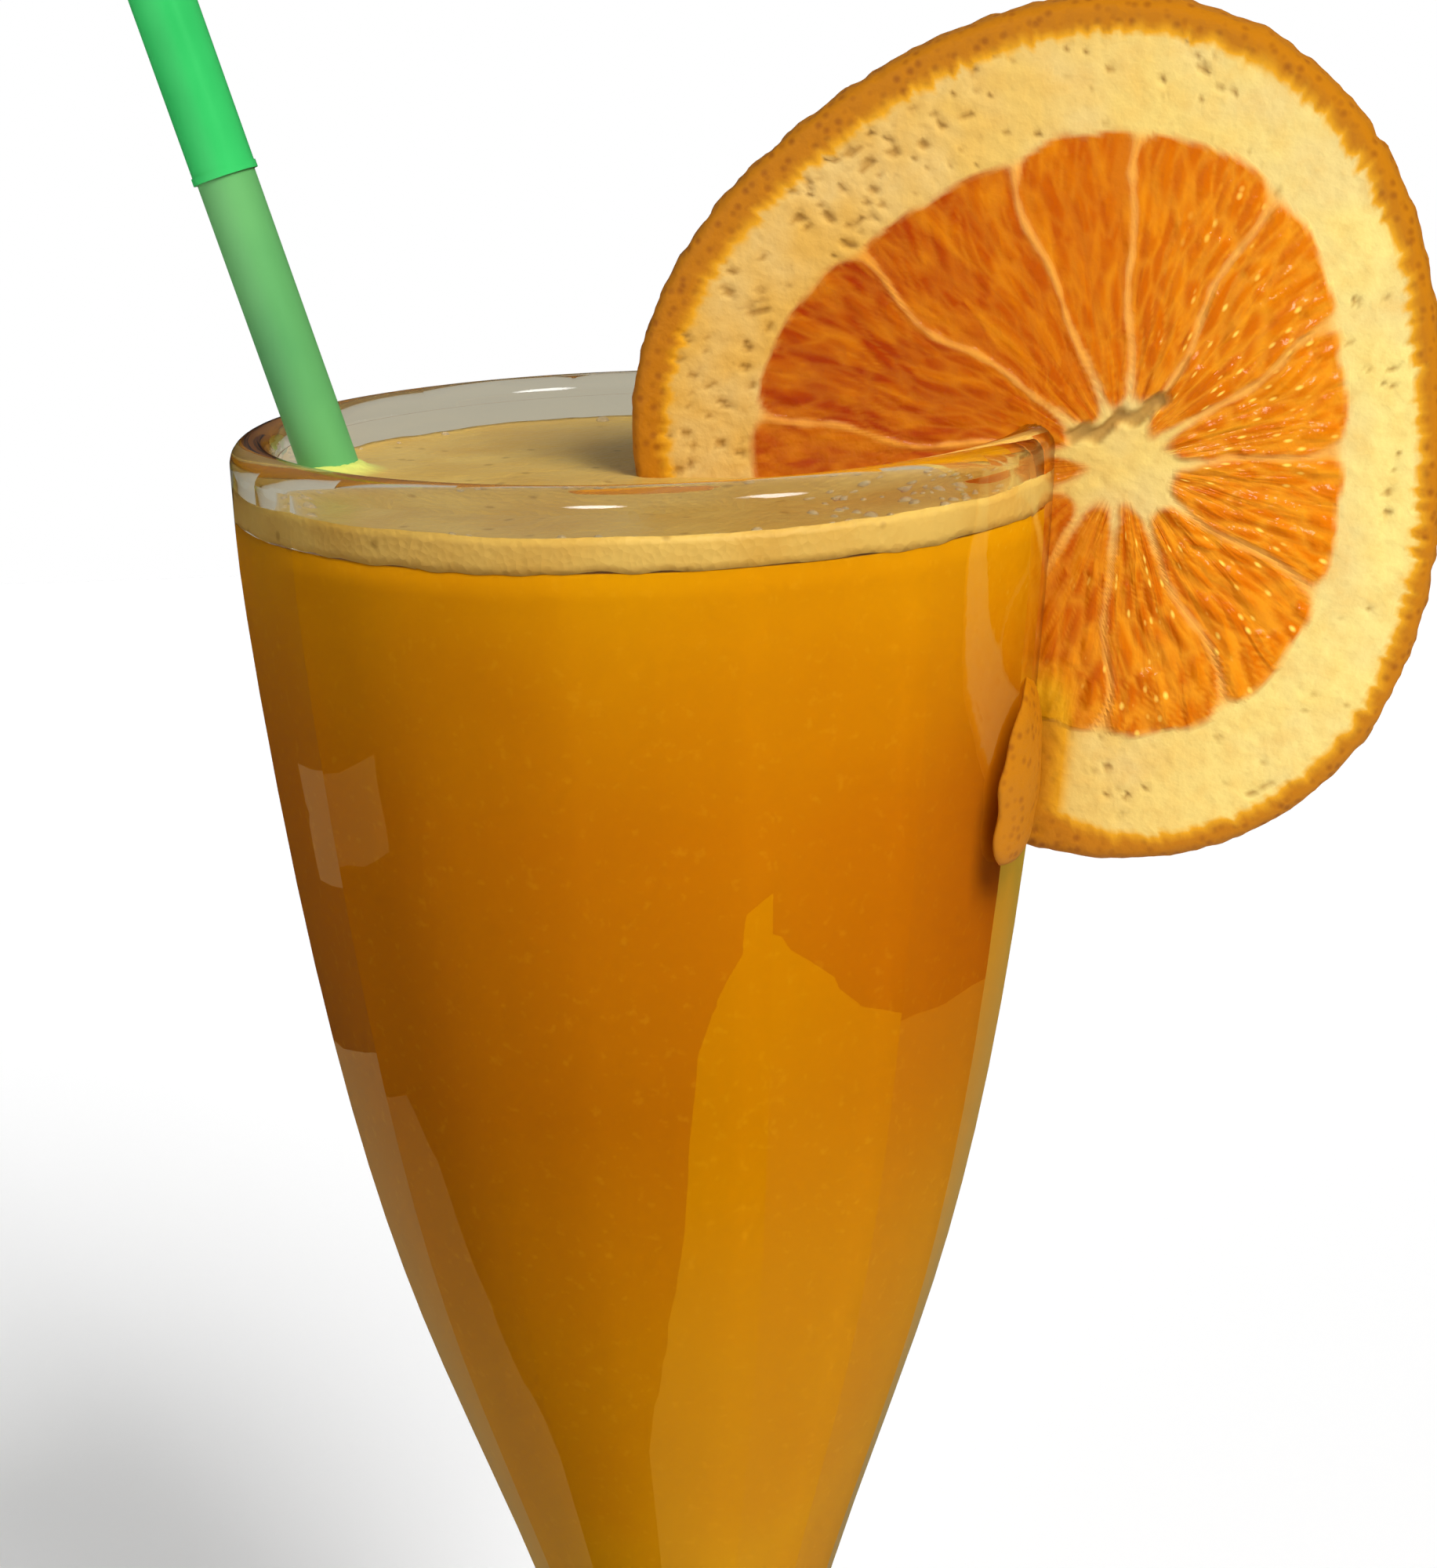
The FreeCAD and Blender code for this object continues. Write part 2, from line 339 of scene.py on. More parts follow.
mesh.shade_smooth()
bubbles = bpy.data.objects.new("froth_bubbles", mesh)
bpy.context.scene.collection.objects.link(bubbles)
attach(bubbles, "root")
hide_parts("froth")

# A film of juice round air: clear, with a bright rim.
bubble_film, tree, output = new_material("juice_bubble_film")
film_noise = add(tree, "TexNoise", {"Scale": 1 / 0.8}, {"Vector": position_mm(tree)})
film_tint = add(tree, "Mix", {
    "data_type": "RGBA", 6: linear("F6E2AE"), 7: linear("FBF3D8")},
    {0: film_noise.outputs["Fac"]})
film = add(tree, "BsdfPrincipled", {
    "Roughness": 0.06, "IOR": 1.33, "Transmission Weight": 0.75},
    {"Base Color": film_tint.outputs[2]})
tree.links.new(film.outputs[0], output.inputs["Surface"])
dress(bubbles, bubble_film)


# ---------------------------------------------------------------- the straw
# A drinking straw of extruded polypropylene in two lengths, pushed together. The
# lower tube is thin, milky and matt; the sleeve over it is a deeper, shinier green.
draw_line_mm, draw_stretch = 0.9, 0.04      # fine lines, drawn out along the straw
haze_mm = 12.0


def polypropylene(name, dark, light, roughness):
    """Extruded polypropylene: waxy, with faint draw lines and a slow milky haze."""
    material, tree, output = new_material(name)
    place = position_mm(tree)
    drawn = add(tree, "Mapping", {"Scale": (1.0, 1.0, draw_stretch)}, {"Vector": place})
    lines = add(tree, "TexNoise", {"Scale": 1 / draw_line_mm, "Detail": 2.0},
                {"Vector": drawn.outputs[0]})
    haze = add(tree, "TexNoise", {"Scale": 1 / haze_mm}, {"Vector": place})
    blend = add(tree, "MapRange", {"From Min": 0.3, "From Max": 0.7},
                {"Value": haze.outputs["Fac"]})
    colour = add(tree, "Mix", {
        "data_type": "RGBA", 6: linear(dark), 7: linear(light)}, {0: blend.outputs[0]})
    bump = add(tree, "Bump", {"Strength": 0.12, "Distance": 0.1 * MM},
               {"Height": lines.outputs["Fac"]})
    skin = add(tree, "BsdfPrincipled", {"Roughness": roughness, "IOR": 1.49},
               {"Base Color": colour.outputs[2], "Normal": bump.outputs[0]})
    tree.links.new(skin.outputs[0], output.inputs["Surface"])
    return material


straw_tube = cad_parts["straw_tube"]
straw_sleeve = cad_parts["straw_sleeve"]
dress(straw_tube, polypropylene("milky_green_polypropylene", "529656", "60A45E", 0.5))
dress(straw_sleeve, polypropylene("green_polypropylene", "2AAA54", "36BC60", 0.28))


# ---------------------------------------------------------------- the orange slice
# A round cut of orange, seven millimetres thick, slit from its edge and hung
# on the rim. Zest, pith, membranes and juice sacs all run through the cut.
slice_side = math.radians(-12.0)            # which way it stands out from the glass
slice_half = 3.5                            # half its thickness
middle_u, middle_z = 37.85, 188.1           # middle of the fruit's outline
flesh_u, flesh_z = 39.1, 188.4              # middle of the ring of segments
flesh_radius = 26.6
hub_u, hub_z = 44.2, 186.5                  # where the segments meet
membranes = (2, 32, 61, 87, 110, 143, 173, 204, 235, 265, 293, 325)     # degrees
membrane_half = 0.2
sac_wide, sac_long = 1.15, 4.6              # one juice sac
zest_deep = 2.5
crack_from, crack_to, crack_z_from = 40.0, 47.6, 188.6      # a tear by the hub
cut_names = ("flesh", "zest", "sac_edge", "pits_and_tear_shade", "glint_side", "web")
along = np.array([math.cos(slice_side), math.sin(slice_side)])
facing = np.array([math.sin(slice_side), -math.cos(slice_side)])


def outline_radius(angle):
    """Radius of the fruit's outline about its middle."""
    return 37.3 - 2.2 * np.cos(3 * angle) - 1.1 * np.cos(2 * angle - math.radians(28))


def step(low, high, value):
    """Eases from 0 at low to 1 at high."""
    share = np.clip((value - low) / (high - low), 0, 1)
    return share * share * (3 - 2 * share)


def soft_least(values, blend):
    """The least of several distances, rounded where two meet."""
    values = np.array(values)
    return -blend * np.log(np.sum(np.exp(-values / blend), axis=0))


def grains(u, z, size, seed):
    """Smooth noise over the cut, about size millimetres to a lump."""
    return np.array([
        noise.noise(Vector((a / size, b / size, seed))) for a, b in zip(u, z)])


def cut_fields(u, z, seed):
    """What each point of a cut face is made of, and how high it stands."""
    r = np.hypot(u - hub_u, z - hub_z)
    phi = np.degrees(np.arctan2(z - hub_z, u - hub_u)) % 360
    phi = phi + 1.6 * np.sin(r / 4.3 + seed) + 1.2 * np.sin(r / 2.1 + phi / 20)
    t = np.arctan2(z - flesh_z, u - flesh_u)
    a = np.arctan2(z - middle_z, u - middle_u)
    to_flesh_edge = flesh_radius - 2.0 * np.cos(3 * t) - np.hypot(u - flesh_u, z - flesh_z)
    to_flesh_edge = to_flesh_edge + 0.6 * grains(u, z, 4.5, seed + 9)
    to_edge = outline_radius(a) - np.hypot(u - middle_u, z - middle_z)
    turns = np.array(membranes, float)
    away = (phi[:, None] - turns[None, :] + 180) % 360 - 180
    to_side = r[:, None] * np.sin(np.radians(np.clip(np.abs(away), 0, 90)))
    order = np.sort(to_side, axis=1)
    segment = np.sum((phi[:, None] >= turns[None, :]), axis=1) % 12
    tip = 3.4 + 1.9 * np.sin(segment * 2.4 + 0.7)
    inside = soft_least([to_flesh_edge, order[:, 0] - membrane_half,
                         order[:, 1] - membrane_half, r - tip], 0.75)
    inside = inside + 0.25 * grains(u, z, 1.6, seed)
    flesh = step(-0.25, 0.35, inside)
    sac_edge = np.zeros_like(u)
    bulge = np.zeros_like(u)
    uneven = r + 2.5 * grains(u, z, 3.0, seed + 6)
    fanned = np.where(uneven < 11, 9.0, np.where(uneven < 20, 16.0, 26.0))
    for i in np.nonzero(flesh > 0)[0]:
        across = math.radians(phi[i]) * fanned[i] / sac_wide
        p = Vector((across, r[i] / sac_long, seed + segment[i] * 7.0 + fanned[i]))
        near = noise.voronoi(p)[0]
        sac_edge[i] = 1 - min((near[1] - near[0]) * 3.6, 1)
        bulge[i] = max(0.0, 1 - near[0] * 1.25)
    pitted = grains(u, z, 1.1, seed + 3) + 0.5 * grains(u, z, 3.1, seed + 4)
    zest_depth = zest_deep + 0.8 * np.cos(a - math.radians(160)) + 0.9 * grains(
        np.degrees(a) / 1.3, to_edge / 3.0, 1.0, seed + 5)
    curled = np.exp(-((np.degrees(a) + 100) / 13.0) ** 2)
    zest = 1 - step(zest_depth - 0.9, zest_depth + 0.7, to_edge - 4.0 * curled)
    rounding = np.clip(1 - to_edge / 1.1, 0, 1)
    height = -1.0 * (1 - np.sqrt(np.clip(1 - rounding ** 2, 0, 1)))
    # The side where the lamp glints, towards the right: the sacs stand out more there, and the
    # material paints its highlights and sheen by it.
    glint_side = 0.2 + 0.8 * step(34, 52, u - 0.3 * (z - hub_z))
    crack_u = np.clip(u, crack_from, crack_to)
    crack_z = crack_z_from + 0.41 * (crack_u - crack_from) + 0.5 * np.sin(crack_u * 1.9)
    crack = 1 - step(0.35, 1.0, np.hypot(u - crack_u, z - crack_z) + 0.3 * pitted)
    height = height - 0.7 * crack
    height = height + flesh * (0.5 * glint_side * bulge - 0.22) + (1 - flesh) * 0.1 * pitted
    drawn = grains(u * 0.75 + z * 0.45, z * 1.1 - u * 0.5, 1.0, seed + 11)
    left = np.clip((52 - u) / 30, 0, 1) * 0.26
    pits_and_tear_shade = 0.9 * step(0.5, 0.74, drawn + 0.4 * grains(u, z, 6.0, seed + 12) + left)
    pits_and_tear_shade = pits_and_tear_shade * (1 - flesh) * (1 - zest) * step(9, 13, r) * step(0.2, 0.7, -inside)
    height = height - 0.4 * pits_and_tear_shade
    flesh = flesh * (1 - crack)
    # The tear takes the pits' dark brown: painted shade in the gap.
    pits_and_tear_shade = np.maximum(pits_and_tear_shade, crack)
    web = step(-0.2, 1.4, to_flesh_edge) * step(4.5, 10.0, r)
    return {"flesh": flesh, "zest": zest, "sac_edge": sac_edge, "glint_side": glint_side,
            "pits_and_tear_shade": pits_and_tear_shade, "web": web, "height": height}


def slice_point(u, z, out):
    """A point of the slice in the frame, from its own millimetres."""
    x, y = u * along[0] + out * facing[0], u * along[1] + out * facing[1]
    return np.stack([x * MM, y * MM, z * MM], axis=-1)


turns_round = 512
rings_in = turns_round // 6
dimple_deep = 0.28                          # unevenness of the peel's outline
angles = np.linspace(0, 2 * math.pi, turns_round, endpoint=False)
dimples = np.array([noise.noise(Vector((math.cos(t) * 14, math.sin(t) * 14, 0)))
                    + 0.6 * noise.noise(Vector((math.cos(t) * 34, math.sin(t) * 34, 4)))
                    for t in angles]) * dimple_deep
slice_rings = []
shares = np.linspace(0, 1, rings_in + 1)[1:]
for out_sign, order in ((1, shares), (-1, shares[::-1])):
    for share in order:
        radius = (outline_radius(angles) + dimples) * share
        u, z = middle_u + radius * np.cos(angles), middle_z + radius * np.sin(angles)
        slice_rings.append((u, z, out_sign))
all_u = np.concatenate([u for u, _, _ in slice_rings])
all_z = np.concatenate([z for _, z, _ in slice_rings])
all_sign = np.concatenate([np.full(len(u), s) for u, _, s in slice_rings])
front, back = all_sign > 0, all_sign < 0
height = np.zeros_like(all_u)
height[front] = cut_fields(all_u[front], all_z[front], 0.0)["height"]
height[back] = cut_fields(all_u[back], all_z[back], 50.0)["height"]
points = slice_point(all_u, all_z, all_sign * (slice_half + height))
rows = [[tuple(p) for p in points[i:i + turns_round]]
        for i in range(0, len(points), turns_round)]

# The peel bows out a little between the two cut faces, with fine pores.
peel_rows, peel_bow, pore_deep = 9, 0.35, 0.16
first, last = np.array(rows[rings_in - 1]), np.array(rows[rings_in])
outward = np.stack([np.cos(angles) * along[0], np.cos(angles) * along[1],
                    np.sin(angles)], axis=-1)
peel = []
for k in range(1, peel_rows + 1):
    share = k / (peel_rows + 1)
    row = first * (1 - share) + last * share
    pores_here = np.array([noise.noise(Vector((t * 26, share * 5.0, 2))) for t in angles])
    proud = peel_bow * math.sin(math.pi * share) + pore_deep * pores_here
    peel.append([tuple(p) for p in row + outward * proud[:, None] * MM])
centre_half = slice_half - 0.3              # the middle of each face lies a little in
centres = [[tuple(slice_point(middle_u, middle_z, side * centre_half))] for side in (1, -1)]
rows = [centres[0]] + rows[:rings_in] + peel + rows[rings_in:] + [centres[1]]
fruit = mesh_piece("orange_slice_cut", *closed_turn(rows))

# The slit is the room that the wall of the glass takes, from the rim down. The
# wet fruit presses on the glass, so it reaches just into the wall as the drink does.
rim_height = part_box("glass")[1][2]


def outside_radius(turn, height):
    """Radius of the outside of the glass at a side and a height."""
    far = Vector((math.cos(turn), math.sin(turn), 0))
    hit, place, _, _ = glass.ray_cast(far * 0.1 + Vector((0, 0, height)), -far)
    return math.hypot(place.x, place.y) if hit else 0.0


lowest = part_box("orange_slice")[0][2] - 4 * MM
rim_drops = (0.12, 0.35, 0.7, 1.1, 1.6, 2.3)    # closer levels where the rim is round
heights = [rim_height - drop * MM for drop in rim_drops]
heights += list(np.linspace(heights[-1], lowest, 26)[1:])
wedge_steps, wedge_degrees = 57, 28
wedge = []
for k in range(wedge_steps):
    turn = slice_side + math.radians(wedge_degrees * (k / (wedge_steps - 1) - 0.5))
    section = [(inside_radius(h) + wets, h) for h in heights]
    section += [(outside_radius(turn, h) - wets, h) for h in reversed(heights)]
    wedge += [(r * math.cos(turn), r * math.sin(turn), h) for r, h in section]
count = len(section)
last_section = (wedge_steps - 1) * count
wedge_faces = [tuple(range(count)), tuple(reversed(range(last_section, last_section + count)))]
for start in range(0, last_section, count):
    for i in range(count):
        j = (i + 1) % count
        wedge_faces.append((start + i, start + count + i, start + count + j, start + j))
wall_room = mesh_piece("wall_room", wedge, wedge_faces, smooth=False)
for piece in (wall_room, fruit):
    shape = bmesh.new()
    shape.from_mesh(piece.data)
    bmesh.ops.recalc_face_normals(shape, faces=shape.faces)
    shape.to_mesh(piece.data)
    shape.free()
cut = fruit.modifiers.new("slit", "BOOLEAN")
cut.operation = "DIFFERENCE"
cut.solver = "MANIFOLD"
cut.object = wall_room
bpy.context.view_layer.update()
carved = bpy.data.meshes.new_from_object(
    fruit.evaluated_get(bpy.context.evaluated_depsgraph_get()))
fruit.modifiers.clear()
fruit.data = carved
fruit.data.shade_smooth()
bpy.data.objects.remove(wall_room)

# What each point of the cut is, kept on the mesh for its material.
where = np.empty(len(carved.vertices) * 3)
carved.vertices.foreach_get("co", where)
where = where.reshape(-1, 3) / MM
cut_u = where[:, 0] * along[0] + where[:, 1] * along[1]
cut_out = where[:, 0] * facing[0] + where[:, 1] * facing[1]
cut_z = where[:, 2]
on_front = cut_out > 0
found = {}
for chosen, seed in ((on_front, 0.0), (~on_front, 50.0)):
    for name, values in cut_fields(cut_u[chosen], cut_z[chosen], seed).items():
        found.setdefault(name, np.zeros(len(where)))[chosen] = values
a = np.arctan2(cut_z - middle_z, cut_u - middle_u)
to_edge = outline_radius(a) - np.hypot(cut_u - middle_u, cut_z - middle_z)
peel_share = step(-0.2, 0.6, 1.4 - to_edge) * step(0.2, 0.9, slice_half - np.abs(cut_out))
found["zest"] = np.maximum(found["zest"], peel_share)
# Below the slit, a strip of peel runs up beside the glass.
strip_low, strip_fades, strip_high = 150, 160, 169
strip_heights = np.linspace(strip_low, strip_high, 12)
strip_wall = [outside_radius(slice_side, h * MM) / MM for h in strip_heights]
past_wall = cut_u - np.interp(cut_z, strip_heights, strip_wall)
strip = (1 - step(0.6, 4.2, past_wall)) * (1 - step(strip_fades, strip_high, cut_z))
found["zest"] = np.maximum(found["zest"], strip * (past_wall > -0.5))
for name in cut_names:
    kept = carved.attributes.new(name, "FLOAT", "POINT")
    kept.data.foreach_set("value", found[name].astype(np.float32))
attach(fruit, "root")
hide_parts("orange_slice")

# Fresh-cut orange: wet shiny sacs that fan out from the hub, dry spongy pith with pits and
# flecks, and waxy zest full of oil glands. Flesh and pith are painted lighter towards the
# right, where the lamp falls, and the sacs there carry painted highlights. The sacs and the
# painted highlights are scaled by the turn, by the reach from the hub, and through the slice.
sac_fan, glint_fan = (11.0, 0.16, 0.3), (22.0, 0.62, 0.5)
pith_patch_mm, pith_grain_mm, gland_mm, fine_mm = 9.0, 2.4, 1.1, 0.6
cut_orange, tree, output = new_material("fresh_cut_orange")
place = position_mm(tree)
kept = {name: add(tree, "Attribute", {"attribute_name": name}).outputs["Fac"]
        for name in cut_names}
x_of = add(tree, "SeparateXYZ", {}, {0: place})
# Painted light: the flesh runs from a shaded deep red on the left to a lit orange on the
# right, where the lamp falls.
flesh_painted_light = add(tree, "MapRange", {"From Min": 20.0, "From Max": 62.0},
               {"Value": x_of.outputs["X"]})
turned = add(tree, "VectorRotate", {"rotation_type": "Z_AXIS", "Angle": -slice_side},
             {"Vector": place})
from_hub = add(tree, "VectorMath", {"operation": "SUBTRACT", 1: (hub_u, 0.0, hub_z)},
               {0: turned.outputs[0]})
hub_parts = add(tree, "SeparateXYZ", {}, {0: from_hub.outputs[0]})
turn_of = add(tree, "Math", {"operation": "ARCTAN2"},
              {0: hub_parts.outputs["Z"], 1: hub_parts.outputs["X"]})
reach_of = add(tree, "VectorMath", {"operation": "LENGTH"}, {0: from_hub.outputs[0]})
fan = add(tree, "CombineXYZ", {}, {
    "X": turn_of.outputs[0], "Y": reach_of.outputs["Value"], "Z": hub_parts.outputs["Y"]})
sac_place = add(tree, "VectorMath", {"operation": "MULTIPLY", 1: sac_fan},
                {0: fan.outputs[0]})
flesh_shade_to_light = add(tree, "Mix", {
    "data_type": "RGBA", 6: linear("983002"), 7: linear("D06C02")},
    {0: flesh_painted_light.outputs[0]})
sac_grain = add(tree, "TexNoise", {
    "Scale": 1.0, "Detail": 2.6, "Roughness": 0.5, "Distortion": 0.5},
    {"Vector": sac_place.outputs[0]})
sac_share = add(tree, "MapRange", {"From Min": 0.44, "From Max": 0.72, "To Max": 0.5},
                {"Value": sac_grain.outputs["Fac"]})
sac_tone = add(tree, "Mix", {"data_type": "RGBA", 7: linear("DC8608")},
               {0: sac_share.outputs[0], 6: flesh_shade_to_light.outputs[2]})
# The pale walls between the sacs are real; they are drawn stronger on the lit right side as
# painted sheen.
edge_sheen_depth = add(tree, "MapRange", {"To Min": 0.1, "To Max": 0.5}, {"Value": kept["glint_side"]})
edge_and_sheen_share = add(tree, "Math", {"operation": "MULTIPLY"},
                 {0: kept["sac_edge"], 1: edge_sheen_depth.outputs[0]})
sacs = add(tree, "Mix", {"data_type": "RGBA", 7: linear("E8A024")},
           {0: edge_and_sheen_share.outputs[0], 6: sac_tone.outputs[2]})
# Painted light: the pith runs from a shaded tan on the left to a lit pale yellow on the right.
pith_painted_light = add(tree, "MapRange", {"From Min": 20.0, "From Max": 64.0},
                {"Value": x_of.outputs["X"]})
pith_shade_to_light = add(tree, "Mix", {
    "data_type": "RGBA", 6: linear("CC9E48"), 7: linear("E2CC78")},
    {0: pith_painted_light.outputs[0]})
pith_patches = add(tree, "TexNoise", {"Scale": 1 / pith_patch_mm, "Detail": 2.0},
                   {"Vector": place})
patch_of_pith = add(tree, "MapRange", {"From Min": 0.42, "From Max": 0.62, "To Max": 0.55},
                    {"Value": pith_patches.outputs["Fac"]})
pith_mottled = add(tree, "Mix", {"data_type": "RGBA", 7: linear("D2B678")},
                   {0: patch_of_pith.outputs[0], 6: pith_shade_to_light.outputs[2]})
pith_grain = add(tree, "TexNoise", {
    "Scale": 1 / pith_grain_mm, "Detail": 4.0, "Roughness": 0.6}, {"Vector": place})
grain_share = add(tree, "MapRange", {"From Min": 0.42, "From Max": 0.7, "To Max": 0.4},
                  {"Value": pith_grain.outputs["Fac"]})
pith = add(tree, "Mix", {"data_type": "RGBA", 7: linear("D0A04A")},
           {0: grain_share.outputs[0], 6: pith_mottled.outputs[2]})
web_share = add(tree, "Math", {"operation": "MULTIPLY", 1: 0.75}, {0: kept["web"]})
webbed = add(tree, "Mix", {"data_type": "RGBA", 7: linear("E08C1C")},
             {0: web_share.outputs[0], 6: pith.outputs[2]})
# Dark brown for the real pits in the pith, and painted shade in the tear by the hub.
pit_and_tear_shade_share = add(tree, "Math", {"operation": "MULTIPLY", 1: 0.7}, {0: kept["pits_and_tear_shade"]})
pitted = add(tree, "Mix", {"data_type": "RGBA", 7: linear("92621A")},
             {0: pit_and_tear_shade_share.outputs[0], 6: webbed.outputs[2]})
# Painted highlights: pale yellow spots on the sacs of the lit right side stand for glints.
glint_place = add(tree, "VectorMath", {"operation": "MULTIPLY", 1: glint_fan},
                 {0: fan.outputs[0]})
glint_cells = add(tree, "TexVoronoi", {"Scale": 1.0}, {"Vector": glint_place.outputs[0]})
glint_shape = add(tree, "MapRange", {
    "From Min": 0.1, "From Max": 0.3, "To Min": 1.0, "To Max": 0.0},
    {"Value": glint_cells.outputs["Distance"]})
glint_chosen = add(tree, "SeparateXYZ", {}, {0: glint_cells.outputs["Color"]})
glint_here = add(tree, "MapRange", {"From Min": 0.62, "From Max": 0.66},
                {"Value": glint_chosen.outputs["X"]})
glint_spots = add(tree, "Math", {"operation": "MULTIPLY"},
               {0: glint_shape.outputs[0], 1: glint_here.outputs[0]})
glint_side_share = add(tree, "MapRange", {"From Min": 0.55, "From Max": 0.95, "To Max": 0.85},
               {"Value": kept["glint_side"]})
glint_share = add(tree, "Math", {"operation": "MULTIPLY"},
                 {0: glint_spots.outputs[0], 1: glint_side_share.outputs[0]})
glinted = add(tree, "Mix", {"data_type": "RGBA", 7: linear("F8D058")},
              {0: glint_share.outputs[0], 6: sacs.outputs[2]})
cut_face = add(tree, "Mix", {"data_type": "RGBA"},
               {0: kept["flesh"], 6: pitted.outputs[2], 7: glinted.outputs[2]})
glands = add(tree, "TexVoronoi", {"Scale": 1 / gland_mm}, {"Vector": place})
gland_share = add(tree, "MapRange", {
    "From Min": 0.12, "From Max": 0.42, "To Min": 0.75, "To Max": 0.0},
    {"Value": glands.outputs["Distance"]})
zest_tone = add(tree, "Mix", {
    "data_type": "RGBA", 6: linear("AE6A02"), 7: linear("8C4C02")},
    {0: gland_share.outputs[0]})
# The zest is yellow where it meets the pith.
yellow_band = add(tree, "Math", {"operation": "MULTIPLY", 1: 3.0, "use_clamp": True},
                  {0: kept["zest"]})
yellowed = add(tree, "Mix", {"data_type": "RGBA", 7: linear("E2A41A")},
               {0: yellow_band.outputs[0], 6: cut_face.outputs[2]})
zested = add(tree, "Mix", {"data_type": "RGBA"},
             {0: kept["zest"], 6: yellowed.outputs[2], 7: zest_tone.outputs[2]})
roughness = add(tree, "MapRange", {"To Min": 0.62, "To Max": 0.13}, {"Value": kept["flesh"]})
fine = add(tree, "TexNoise", {"Scale": 1 / fine_mm, "Detail": 2.0}, {"Vector": place})
fine_bump = add(tree, "Bump", {"Strength": 0.5, "Distance": 0.15 * MM},
                {"Height": fine.outputs["Fac"]})
gland_bump = add(tree, "Bump", {"Strength": 0.3, "Distance": 0.2 * MM},
                 {"Height": glands.outputs["Distance"], "Normal": fine_bump.outputs[0]})
glint_depth = add(tree, "Math", {"operation": "MULTIPLY"}, {0: kept["glint_side"], 1: kept["flesh"]})
glisten = add(tree, "Math", {"operation": "MULTIPLY"},
              {0: sac_grain.outputs["Fac"], 1: glint_depth.outputs[0]})
wet_bump = add(tree, "Bump", {"Strength": 0.6, "Distance": 0.9 * MM},
               {"Height": glisten.outputs[0], "Normal": gland_bump.outputs[0]})
fruit_skin = add(tree, "BsdfPrincipled", {"IOR": 1.38, "Specular IOR Level": 0.38}, {
    "Base Color": zested.outputs[2], "Roughness": roughness.outputs[0],
    "Normal": wet_bump.outputs[0]})
tree.links.new(fruit_skin.outputs[0], output.inputs["Surface"])
dress(fruit, cut_orange)

# The end of the peel below the slit, which curls forward round the glass.
curl_low, curl_high, curl_rows, curl_around = 150.6, 168.0, 28, 24
curl_half_wide, curl_half_thick = 4.9, 0.95
curl_turn = slice_side - math.radians(14.0)     # its middle, in front of the slice
low_belly = 0.62                                # under 1, so it is fullest low down
curl_rings = []
for k in range(curl_rows):
    share = k / (curl_rows - 1)
    height = (curl_low + (curl_high - curl_low) * share) * MM
    full = math.sqrt(max(1 - (2 * share ** low_belly - 1) ** 2, 0))
    half_wide, half_thick = curl_half_wide * full + 0.05, curl_half_thick * full + 0.03
    curl_ring = []
    for i in range(curl_around):
        turn = 2 * math.pi * i / curl_around
        lump = 1 + 0.14 * noise.noise(Vector((math.cos(turn), math.sin(turn), share * 5)))
        side = curl_turn + half_wide * lump * math.cos(turn) * MM / inside_radius(height)
        radius = outside_radius(side, height) + half_thick * (0.9 + lump * math.sin(turn)) * MM
        curl_ring.append((radius * math.cos(side), radius * math.sin(side), height))
    curl_rings.append(curl_ring)
tips = [[tuple(np.mean(curl_rings[i], axis=0))] for i in (0, -1)]
curl = mesh_piece("orange_peel_end", *closed_turn([tips[0]] + curl_rings + [tips[1]]))
zested_all = curl.data.attributes.new("zest", "FLOAT", "POINT")
zested_all.data.foreach_set("value", np.ones(len(curl.data.vertices), np.float32))
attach(curl, "root")
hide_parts("orange_slice")
dress(curl, cut_orange)


# ---------------------------------------------------------------- floor, light and camera
# A white table that runs far back, a large lamp at the front right, a soft fill
# from the front left, and a camera a little above the rim that looks down at it.
table_half = 0.9
floor = mesh_piece("floor", [(x * table_half, y * table_half, 0)
                             for x, y in ((-1, -1), (1, -1), (1, 1), (-1, 1))],
                   [(0, 1, 2, 3)], smooth=False)
floor.visible_glossy = False


def through_clear(tree, rays):
    """1 where the camera looks by way of clear glass, and 0 for all other rays."""
    first_look = add(tree, "Math", {"operation": "LESS_THAN", 1: 0.5},
                     {0: rays.outputs["Diffuse Depth"]})
    return add(tree, "Math", {"operation": "MULTIPLY", "use_clamp": True},
               {0: rays.outputs["Transmission Depth"], 1: first_look.outputs[0]}).outputs[0]


# Matt white card: it lights the glass from below. Where the camera looks by way of clear
# glass, it is swapped for an even warm-grey glow, as the rest of the room is.
card_tooth_mm = 2.0
room_in_glass = "C8C3B5"
white_card, tree, output = new_material("matt_white_card")
tooth = add(tree, "TexNoise", {"Scale": 1 / card_tooth_mm}, {"Vector": position_mm(tree)})
card_tone = add(tree, "Mix", {
    "data_type": "RGBA", 6: linear("FCFCFC"), 7: linear("FDFDFD")}, {0: tooth.outputs["Fac"]})
card = add(tree, "BsdfPrincipled", {"Roughness": 0.9, "Specular IOR Level": 0.0},
           {"Base Color": card_tone.outputs[2]})
room_behind = add(tree, "Emission", {"Color": linear(room_in_glass)})
card_or_room = add(tree, "MixShader", {}, {
    0: through_clear(tree, add(tree, "LightPath")), 1: card.outputs[0],
    2: room_behind.outputs[0]})
tree.links.new(card_or_room.outputs[0], output.inputs["Surface"])
dress(floor, white_card)

